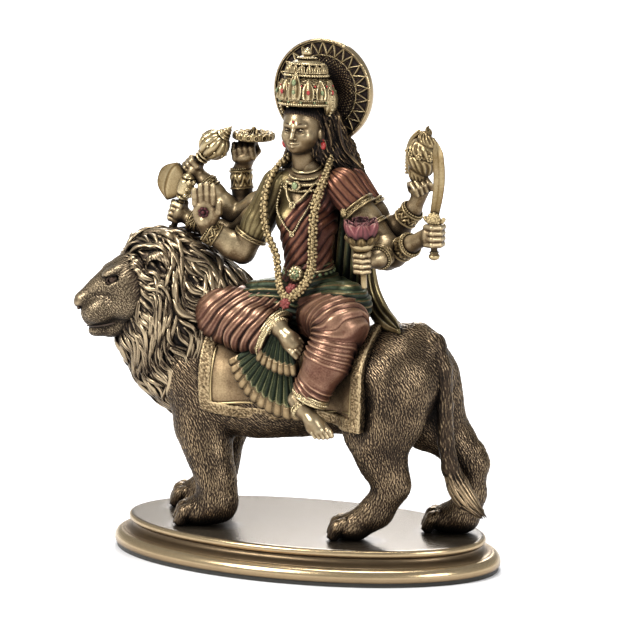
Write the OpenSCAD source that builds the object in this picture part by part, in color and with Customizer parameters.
// Cast figurine: a many-armed deity seated side-saddle on a walking lion, on an oval plinth.
// The lion walks towards -X, the rider faces -Y, and Z = 0 is the face of the felt pad.

/* [Plinth] */
// Length of the oval plinth
plinth_l = 160; // [150:1:170]
// Width of the oval plinth
plinth_w = 94; // [88:1:100]
// Height of the plinth's top face above the table
plinth_h = 13; // [12.5:0.5:13.5]
// Thickness of the felt pad under the plinth
felt_t = 1.5; // [1:0.1:2]
// Diameter of the locating peg under each paw
peg_d = 4; // [3:0.5:5]
// Depth of each peg in the plinth
peg_deep = 6; // [4:0.5:8]

/* [Halo] */
// Diameter of the halo disc
halo_d = 41; // [36:1:42]
// Thickness of the halo's rim
halo_t = 4; // [3:0.2:4.6]

/* [Hand-held pieces] */
// Length of the sword from pommel to tip
sword_l = 43; // [38:1:46]
// Diameter of the mace's head
mace_d = 11.5; // [10:0.5:12.5]
// Diameter of the discus
discus_d = 15.5; // [13:0.5:16]
// Diameter of the open lotus
lotus_d = 16; // [14:0.5:17]
// Width of the axe blade
axe_w = 12; // [10:0.5:13]
// Height of the conch
conch_h = 19; // [17:0.5:20]

/* [Saddle cloth] */
// Thickness of the saddle cloth
cloth_t = 1.4; // [1:0.1:2]
// Width of the raised border round the cloth
border_w = 4.5; // [4:0.5:6]

/* [Hidden] */

$fn = 20;
gap = 0.2;             // room left in each socket
ground = plinth_h;     // the paws stand on this
bronze = "#8a6a3f";
dark_bronze = "#5d4a32";
gold = "#c8a35a";
skin = "#b08d57";
copper = "#9c5a41";
green = "#3f4f34";
rose = "#a8545a";

// ---- the lion's skeleton: [x, y, z, radius] of each joint, in order ----
spine = [[-42, -5, 74, 20], [-24, -4, 67, 20], [0, -4, 67, 18], [19, -4, 69, 17],
         [34, -4, 74, 18], [43, -4, 77, 19]];
neck = [[-48, -6, 76, 20], [-53, -8, 90, 20], [-57, -8, 104, 19], [-61, -8, 111, 14.5]];
chest = [[-64, -11, 82, 14], [-60, -10, 72, 13.5], [-52, -8, 65, 12], [-44, -7, 62, 13]];
ruff = [[-62, -8, 112, 14], [-52, -5, 112, 14], [-38, -4, 99, 16.5], [-38, -5, 84, 18]];
skull = [[-65, -16, 107, 12.5], [-72, -20, 105, 10.5]];
muzzle = [[-72, -20, 99, 10], [-78, -24, 96.5, 7.6]];
nose = [[-72, -20, 106, 8.5], [-82.5, -25.5, 99, 4.4]];
jaw = [[-69, -18.5, 94, 8], [-77, -23.5, 90.5, 4.8]];
front_left = [[-39, -13, 66, 13], [-37, -15, 50, 9.8], [-33, -17, 40, 8.4], [-29.5, -18.5, 31, 7],
              [-27.5, -19, 22, 7], [-36, -20, 19.4, 6.5], [-41.5, -20.5, 18.2, 5.4]];
front_right = [[-38, 6, 62, 13], [-40, 8, 46, 9.2], [-41.5, 8, 34, 7.4], [-43, 8, 26, 6.8],
               [-46, 8, 20, 6.2], [-52, 8, 18.6, 5.8], [-57, 8, 17.8, 5]];
rear_left = [[42, -12, 73, 16], [38, -16, 57, 12], [41, -16, 43, 8], [44.5, -16, 35, 6.2],
             [36, -17, 24, 6], [28.5, -18, 19.3, 6.2], [23, -18, 18.2, 5.4]];
rear_right = [[46, 4, 72, 15], [51, 7, 58, 11], [60, 9, 48, 7.6], [66.5, 9, 41, 5.8],
              [65.5, 10, 29, 5.2], [62, 10, 20, 6.2], [56, 10, 19, 6], [52.5, 10, 18, 5.2]];
tail = [[52, -5, 91, 4.4], [58, -6, 87, 3.8], [61, -7, 79, 3.4], [61.5, -8, 64, 3], [61, -7, 50, 3],
        [63, -5, 37, 3], [68, -3, 28.5, 3.6], [72, -2, 26, 4.2]];
paws = [front_left, front_right, rear_left, rear_right];

// ---- the rider's skeleton ----
hips = [[-4, -4, 98, 11.5], [13, -4, 99, 12]];
trunk = [[4, -4, 106, 10.5], [3.5, -4, 116, 8.8], [3, -5, 128, 10], [3, -4.5, 138, 11]];
shoulders = [[-8.5, -3, 146, 5.6], [16, -3, 147, 6]];
neck_bone = [[3, -4, 144, 6], [2.8, -3.5, 157, 4.4]];
thigh_right = [[-4, -8, 99, 10], [-28.5, -14, 96.5, 9.2]];
shin_right = [[-28, -16, 94.5, 8.6], [-15, -20, 92, 9], [-7, -22, 91.5, 8.2]];
thigh_left = [[12, -7, 99, 11], [28, -21, 98, 10.6]];
shin_left = [[28, -23, 96, 10.4], [26, -28, 84, 9], [20, -30, 73, 6.8]];
foot_right = [[-2, -22.5, 96, 3.4], [3, -24, 95, 3.8], [9, -26, 92.4, 3.2], [13, -27, 90, 2]];
foot_left = [[16, -31, 68, 3.6], [18, -32, 65, 3.9], [23, -35, 60.5, 3.2], [26.5, -36.5, 57.6, 2]];

// ---- each arm: shoulder, elbow, wrist, then the hand ----
blessing = [[-9.5, -4, 145.5, 6.2], [-23, -8, 119.5, 5.2], [-34.3, -13, 127, 3.6], [-35.5, -16, 134.5, 4],
            [-35.5, -17, 141, 3.4], [-35.3, -17.5, 146.5, 1.8]];
discus_reach = [[-9, 5, 144.5, 4.6], [-30, 7.5, 128, 4.4], [-31.5, 8, 147.5, 3.4], [-30, 8, 154.5, 4],
                [-28, 7.5, 158.5, 3]];
mace_reach = [[-9, 1.5, 143.5, 4.6], [-31, 1.5, 131, 4.4], [-43, 0.5, 144, 3.3], [-48.8, 0, 149, 4.3]];
axe_reach = [[-9.5, -2, 141, 4.6], [-30, -2.5, 124, 4.4], [-46.5, -4, 129.2, 3.4], [-52.8, -4, 132.2, 4.3]];
lotus_reach = [[17.5, -4, 147, 6.2], [37, -4, 124.5, 5], [37.5, -14, 122, 3.7], [33.7, -20, 121.3, 4.4]];
sword_reach = [[17, -1, 145.5, 5.4], [35, -1, 120, 5], [48.6, -9, 127.5, 3.8], [60, -13, 132.3, 4.5]];
conch_reach = [[19, 2, 146.5, 6.2], [34, 4, 127.5, 5], [44.5, 2, 139, 3.6], [48, 0.5, 147.5, 4.2]];
arms = [blessing, discus_reach, mace_reach, axe_reach, lotus_reach, sword_reach, conch_reach];

halo_at = [3.5, 9, 181];
crown_at = [2.3, -4, 173.5];
head_at = [2.3, -4.5, 167];

// ---- helpers ----
// A limb: a round bar that passes through each [x, y, z, radius] in turn.
module chain(joints, fn = 14) {
  for (i = [0 : len(joints) - 2])
    hull() {
      ball(joints[i], fn);
      ball(joints[i + 1], fn);
    }
}

module ball(joint, fn = 14) {
  translate([joint.x, joint.y, joint.z]) sphere(r = joint[3], $fn = fn);
}

// The same limb, thicker all round.
function grown(joints, by) = [for (j = joints) [j.x, j.y, j.z, j[3] + by]];
function at(joint) = [joint.x, joint.y, joint.z];
function last(list) = list[len(list) - 1];
function between(a, b, t) = a + (b - a) * t;

// Turns +Z to point along a direction.
module along(direction) {
  tilt = acos(direction.z / norm(direction));
  turn = atan2(direction.y, direction.x);
  rotate([0, tilt, turn]) children();
}

// A ring round the bone from a to b, at share t of the way.
module cuff(a, b, t, r, h) {
  translate(between(at(a), at(b), t))
    along(at(b) - at(a))
      difference() {
        cylinder(r = r, h = h, center = true, $fn = 24);
        cylinder(r = r - 1.1, h = h + 1, center = true, $fn = 24);
      }
}

// An oval slab whose edge stands "inset" inside the plinth's widest outline.
module oval(inset, height) {
  sides = 96;
  linear_extrude(height)
    polygon([for (i = [0 : sides - 1]) let (a = i * 360 / sides)
      [(plinth_l / 2 - inset) * cos(a), (plinth_w / 2 - inset) * sin(a)]]);
}

module peg(leg, extra = 0) {
  toe = leg[len(leg) - 2];
  translate([toe.x, toe.y, ground - peg_deep - extra])
    cylinder(d = peg_d + 2 * extra, h = peg_deep + extra + 2, $fn = 32);
}

// Everything under the paws' soles.
module below_ground() {
  translate([-120, -80, ground - 60]) cube([240, 160, 60]);
}

// ---- base ----
module felt_pad() {
  color("#2b2b28") oval(0.8, felt_t);
}

module plinth() {
  color(bronze)
    difference() {
      union() {
        translate([0, 0, felt_t]) oval(0, 4.5);
        translate([0, 0, felt_t + 4.5]) oval(1.6, 1);
        translate([0, 0, felt_t + 5.5]) oval(7.6, 2.2);
        translate([0, 0, felt_t + 7.7]) oval(6.2, plinth_h - felt_t - 7.7);
      }
      for (leg = paws) peg(leg, gap);
    }
}

// ---- lion ----
module body_form(by = 0) {
  chain(grown(spine, by), 22);
}

module mane_form() {
  chain(neck, 20);
  chain(chest, 20);
  chain(ruff, 20);
}

module head_form() {
  chain(skull);
  chain(muzzle);
  chain(nose);
  chain(jaw);
}

module legs_form() {
  for (leg = paws) chain(leg);
}

module lion_leg(leg) {
  color(bronze) {
    difference() {
      chain(leg);
      below_ground();
    }
    peg(leg);
  }
}

module lion_front_left_leg() lion_leg(front_left);
module lion_front_right_leg() lion_leg(front_right);
module lion_rear_left_leg() lion_leg(rear_left);
module lion_rear_right_leg() lion_leg(rear_right);

module lion_body() {
  color(bronze)
    difference() {
      body_form();
      mane_form();
      legs_form();
      chain(tail);
      rider_seat();
    }
}

module lion_mane() {
  color(dark_bronze)
    difference() {
      mane_form();
      head_form();
      chain(front_left);
      chain(front_right);
      rider_seat();
      chain(axe_reach);
      chain(blessing);
    }
}

module lion_head() {
  color(bronze) head_form();
}

module lion_tail() {
  color(bronze)
    difference() {
      chain(tail);
      chain(rear_right);
    }
}

// ---- saddle cloth ----
cloth_x = [-34, 35.5];   // front and rear edges
cloth_low = 58;        // height of the hanging hem
border_proud = 0.8;    // how far the border stands out of the cloth

module cloth_block(margin) {
  translate([cloth_x[0] + margin, -40, cloth_low + margin])
    cube([cloth_x[1] - cloth_x[0] - 2 * margin, 72, 60]);
}

// What stands in or on the cloth.
module cloth_cut() {
  body_form();
  mane_form();
  legs_form();
  rider_seat();
}

module saddle_cloth() {
  color(gold)
    difference() {
      intersection() {
        body_form(cloth_t);
        cloth_block(border_w);
      }
      cloth_cut();
    }
}

// The raised band: the cloth's outline without its field.
module saddle_border() {
  color(gold)
    difference() {
      intersection() {
        body_form(cloth_t + border_proud);
        cloth_block(0);
      }
      cloth_block(border_w);
      cloth_cut();
    }
}

// ---- rider, below the waist ----
module legs_draped() {
  chain(thigh_right, 20);
  chain(shin_right, 20);
  chain(thigh_left, 20);
  chain(shin_left, 20);
}

// What the lion and the cloth leave free for the rider.
module rider_seat() {
  chain(hips, 20);
  legs_draped();
}

module skirt() {
  color(green)
    difference() {
      union() {
        chain(hips, 20);
        chain([trunk[0], trunk[1]], 20);
      }
      legs_draped();
      translate([-40, -40, 110]) cube([80, 80, 30]);
    }
}

module right_leg() {
  color(copper)
    difference() {
      union() {
        chain(thigh_right, 20);
        chain(shin_right, 20);
      }
      chain(foot_right);
    }
}

module left_leg() {
  color(copper)
    difference() {
      union() {
        chain(thigh_left, 20);
        chain(shin_left, 20);
      }
      chain(foot_left);
    }
}

module right_foot() {
  color(skin) chain(foot_right);
}

module left_foot() {
  color(skin) chain(foot_left);
}

module right_anklet() {
  cuff(foot_right[0], foot_right[1], 0.7, 4.8, 1.6);
}

module anklets() {
  color(gold) {
    right_anklet();
    cuff(foot_left[0], foot_left[1], 0.4, 4.9, 1.6);
  }
}

// A fan of pleats, whose radius grows from one edge to the other, hanging in the XZ plane.
module fan(from, to, pleats, thick) {
  function edge(i) = let (t = i / (2 * pleats), a = from[0] + (to[0] - from[0]) * t,
                          r = from[1] + (to[1] - from[1]) * t - (i % 2 == 0 ? 1 : 0))
    [r * cos(a), r * sin(a)];
  rotate([90, 0, 0])
    linear_extrude(thick)
      polygon(concat([[0, 0]], [for (i = [0 : 2 * pleats]) edge(i)]));
}

module lower_pleats() {
  color(green)
    difference() {
      translate([2, -24, 91.5]) fan([212, 22], [285, 34], 12, 3);
      legs_draped();
      chain(foot_left);
      body_form(cloth_t + border_proud);
    }
}

module upper_pleats() {
  color(green)
    difference() {
      translate([3, -27, 101]) fan([248, 19], [290, 25], 7, 2.4);
      legs_draped();
      chain(foot_right);
      right_anklet();
    }
}

// The free end of the sari, from the hip down to the lion's rump.
sash = [[24, 4, 121, 4], [30, 3, 108, 3.4], [34, 1, 101.5, 3], [40, -2, 97.5, 2.6], [46, -4, 96, 1.4]];

module trailing_sash() {
  color(green)
    difference() {
      chain(sash);
      rider_seat();
      body_form(cloth_t + border_proud);
      chain(rear_left);
      chain(rear_right);
      arms_form();
    }
}

// ---- rider, above the waist ----
module trunk_form() {
  chain(trunk, 20);
  chain(shoulders, 20);
  chain(neck_bone);
}

module arms_form() {
  for (arm = arms) upper_arm(arm);
}

module torso() {
  color(copper)
    difference() {
      trunk_form();
      arms_form();
      chain(hips, 20);
      translate([-40, -40, 80]) cube([80, 80, 30]);
    }
}

drape = [[17.5, 4.5, 147, 4.4], [19, 6, 138, 5.5], [19, 7, 128, 5.5], [17, 5, 116, 6]];

module shoulder_drape() {
  color(copper)
    difference() {
      chain(drape, 20);
      trunk_form();
      arms_form();
      rider_seat();
      chain(sash);
      hair_form();
      garland_form();
    }
}

// The jewel on the belt, and the two red flowers under it.
module belt_flower() {
  color(rose)
    for (b = [[3.5, -15, 113.8, 3.6], [3.9, -18.5, 108.6, 2.4], [3, -21, 104, 2]]) ball(b, 16);
}

module necklace() {
  color(gold)
    translate([3, -6.5, 150])
      rotate([38, 0, 0])
        rotate_extrude($fn = 40) translate([6.8, 0]) scale([1, 0.8]) circle(r = 1.5, $fn = 16);
}

// The long garland: one strand down each side of the breast, meeting over the lap.
garland_right = [[-5.5, -4, 157.5], [-9, -8, 152.5], [-10.5, -12, 146], [-10.5, -14, 138], [-8, -15.5, 129],
                 [-4, -15, 121], [-3, -16, 115], [-1, -19, 109], [3, -21.5, 104]];
garland_left = [[12, -4, 157], [13, -8.5, 151], [12, -13.5, 145], [11.4, -16, 137], [11.2, -16, 127],
                [10.8, -15, 119], [10.3, -17, 113], [8, -20, 107.5], [3, -21.5, 104]];

module garland_form() {
  for (strand = [garland_left, garland_right]) chain([for (p = strand) [p.x, p.y, p.z, 1.7]], 13);
}

module garland() {
  color(gold)
    difference() {
      garland_form();
      trunk_form();
      arms_form();
      rider_seat();
      belt_flower();
    }
}

module skull_form() {
  translate(head_at) scale([7.9, 9, 9.8]) sphere(r = 1, $fn = 28);
}

chin = [[2.3, -8, 163, 4.6], [2.3, -9.5, 164.5, 4.6]];

module head() {
  color(skin)
    difference() {
      union() {
        skull_form();
        chain(chin);
      }
      crown_form();
      chain(neck_bone);
    }
}

module hair_form() {
  chain([[2.5, 0.5, 170, 8.6], [3, 2, 161, 8], [10, 3, 155, 6], [16, 4, 149, 4.6], [14, 7, 138, 4.5]]);
  chain([[3, 2, 161, 7.5], [-4, 3, 154, 5.5], [-8, 5, 146, 4.5]]);
}

module hair() {
  color(dark_bronze)
    difference() {
      hair_form();
      skull_form();
      crown_form();
      trunk_form();
      arms_form();
      halo_disc(gap);
    }
}

module earrings() {
  color("#a02c2c") for (side = [-1, 1]) ball([head_at.x + side * 7.4, -4, 160.8, 1.8], 16);
}

// Profile of the tiered crown: [radius, height above its brim].
crown_rings = [[0, 0], [10, 0], [11, 4], [11.2, 9], [8.6, 13.5], [8.9, 15], [8.4, 17.5], [6.4, 19],
               [6.6, 20.5], [3.2, 22], [2.8, 24], [0, 26.5]];

module crown_form() {
  translate(crown_at) rotate([-5, 0, 0]) rotate_extrude($fn = 48) polygon(crown_rings);
}

module crown() {
  color(gold) crown_form();
}

module halo_disc(extra = 0) {
  translate(halo_at)
    rotate([90, 0, 0]) {
      cylinder(d = halo_d + 2 * extra, h = halo_t + 2 * extra, center = true, $fn = 96);
      cylinder(d = 5 + 2 * extra, h = 10, $fn = 32);
    }
}

module halo() {
  color(bronze)
    difference() {
      halo_disc();
      translate(halo_at + [0, -halo_t / 2, 0])
        rotate([90, 0, 0])
          difference() {
            cylinder(d = halo_d - 5, h = 2, center = true, $fn = 96);
            cylinder(d = 5, h = 3, center = true, $fn = 32);
          }
      crown_form();
      skull_form();
    }
}

// ---- arms ----
// Where upper arms meet at the shoulder, the one in front is whole and those behind it fit round it.
module upper_arm(arm) {
  chain([arm[0], arm[1]]);
}

module blessing_arm() {
  color(skin)
    difference() {
      chain(blessing);
      garland_form();
    }
}

module axe_arm() {
  color(skin)
    difference() {
      chain(axe_reach);
      chain([blessing[0], blessing[1], blessing[2]]);
      axe_form();
    }
}

module mace_arm() {
  color(skin)
    difference() {
      chain(mace_reach);
      upper_arm(blessing);
      upper_arm(axe_reach);
      mace_form();
    }
}

module discus_arm() {
  color(skin)
    difference() {
      chain(discus_reach);
      upper_arm(blessing);
      upper_arm(mace_reach);
      discus_form();
    }
}

module lotus_arm() {
  color(skin)
    difference() {
      chain(lotus_reach);
      lotus_form();
    }
}

module sword_arm() {
  color(skin)
    difference() {
      chain(sword_reach);
      chain([lotus_reach[0], lotus_reach[1], lotus_reach[2]]);
      sword_form();
    }
}

module conch_arm() {
  color(skin)
    difference() {
      chain(conch_reach);
      upper_arm(lotus_reach);
      upper_arm(sword_reach);
      conch_form();
    }
}

module armlets() {
  color(gold) {
    cuff(lotus_reach[0], lotus_reach[1], 0.32, 7, 2.4);
    cuff(conch_reach[0], conch_reach[1], 0.82, 6.4, 2);
  }
}

module bracelets() {
  color(gold) {
    cuff(blessing[1], blessing[2], 0.95, 5.2, 4);
    cuff(discus_reach[1], discus_reach[2], 0.9, 4.8, 7);
    cuff(mace_reach[1], mace_reach[2], 0.9, 4.7, 3);
    cuff(axe_reach[1], axe_reach[2], 0.95, 4.7, 3);
    cuff(lotus_reach[1], lotus_reach[2], 0.8, 5.2, 3);
    cuff(sword_reach[1], sword_reach[2], 0.8, 5.2, 6);
    cuff(conch_reach[1], conch_reach[2], 0.8, 5.1, 5);
  }
}

// ---- what the hands hold ----
discus_at = [-25.5, 7, 162.2];

module discus_form() {
  translate(discus_at)
    rotate([0, 2, 0]) {
      cylinder(d = discus_d, h = 3, center = true, $fn = 48);
      cylinder(d = 2, h = 6.5, center = true, $fn = 24);
    }
}

module discus() {
  color(gold) discus_form();
}

// The grip runs through the fist, and the head stands at its upper end.
module mace_form() {
  translate(at(last(mace_reach)))
    rotate([0, 45, 0]) {
      translate([0, 0, -7]) cylinder(d = 2.6, h = 16, $fn = 24);
      translate([0, 0, 7]) cylinder(d = 5.6, h = 2, $fn = 24);
      translate([0, 0, 8 + mace_d / 2]) sphere(d = mace_d, $fn = 32);
      translate([0, 0, 7.5 + mace_d]) cylinder(d1 = 4.5, d2 = 1.6, h = 4.6, $fn = 24);
    }
}

module mace() {
  color(gold) mace_form();
}

// A crescent blade on the left of its shaft.
module axe_form() {
  translate(at(last(axe_reach)))
    rotate([0, 18, 0]) {
      translate([0, 0, -6]) cylinder(d = 2.6, h = 21, $fn = 24);
      translate([0, 0, 10.5]) cylinder(d = 4.6, h = 8, center = true, $fn = 24);
      translate([0, 1, 10.5])
        rotate([90, 0, 0])
          linear_extrude(2)
            polygon(concat([[0, 3], [0, -3]],
              [for (a = [-55 : 11 : 55]) [-axe_w * cos(a), axe_w * 0.62 * sin(a)]]));
    }
}

module axe() {
  color(gold) axe_form();
}

module lotus_form() {
  petal_r = lotus_d / 2;
  translate(at(last(lotus_reach)))
    rotate([6, 0, 0]) {
      translate([0, 0, -9]) cylinder(d1 = 1.6, d2 = 2.6, h = 16, $fn = 24);
      translate([0, 0, 5.5])
        rotate_extrude($fn = 40)
          polygon([[0, 0], [3, 0.6], [petal_r - 1.5, 4], [petal_r, 8], [petal_r - 1, 11], [0, 12]]);
    }
}

module lotus() {
  color(rose) lotus_form();
}

// A sabre, held upright: the blade bows outwards a little.
function bow(t) = 1.6 * sin(180 * t);

module sword_form() {
  blade = sword_l - 14;
  steps = 12;
  translate(at(last(sword_reach))) {
    translate([0, 0, -8]) cylinder(d = 3.2, h = 14, $fn = 24);
    translate([0, 0, 5]) scale([1.5, 1, 1]) cylinder(d = 5.4, h = 2, $fn = 32);
    translate([0.3, 1, 6.5])
      rotate([90, 0, 0])
        linear_extrude(2)
          polygon(concat(
            [for (i = [0 : steps]) let (t = i / steps) [bow(t) - 2.2 * (1 - pow(t, 6)), t * blade]],
            [for (i = [steps : -1 : 0]) let (t = i / steps) [bow(t) + 2.2 * (1 - pow(t, 3)), t * blade]]));
  }
}

module sword() {
  color(gold) sword_form();
}

conch_at = [46.8, 0.5, 150];

module conch_form() {
  translate(conch_at)
    rotate([0, 12, 0])
      rotate_extrude($fn = 40)
        polygon([[0, 0], [2, 0], [4.2, conch_h * 0.35], [6, conch_h * 0.55], [5, conch_h * 0.78],
                 [2.4, conch_h * 0.94], [0, conch_h]]);
}

module conch() {
  color(gold) conch_form();
}

// ---- one call for each node ----
felt_pad();
plinth();
lion_body();
lion_mane();
lion_head();
lion_tail();
lion_front_left_leg();
lion_front_right_leg();
lion_rear_left_leg();
lion_rear_right_leg();
saddle_cloth();
saddle_border();
skirt();
right_leg();
left_leg();
right_foot();
left_foot();
anklets();
upper_pleats();
lower_pleats();
trailing_sash();
torso();
shoulder_drape();
belt_flower();
necklace();
garland();
head();
hair();
earrings();
crown();
halo();
blessing_arm();
discus_arm();
mace_arm();
axe_arm();
lotus_arm();
sword_arm();
conch_arm();
armlets();
bracelets();
discus();
mace();
axe();
lotus();
sword();
conch();
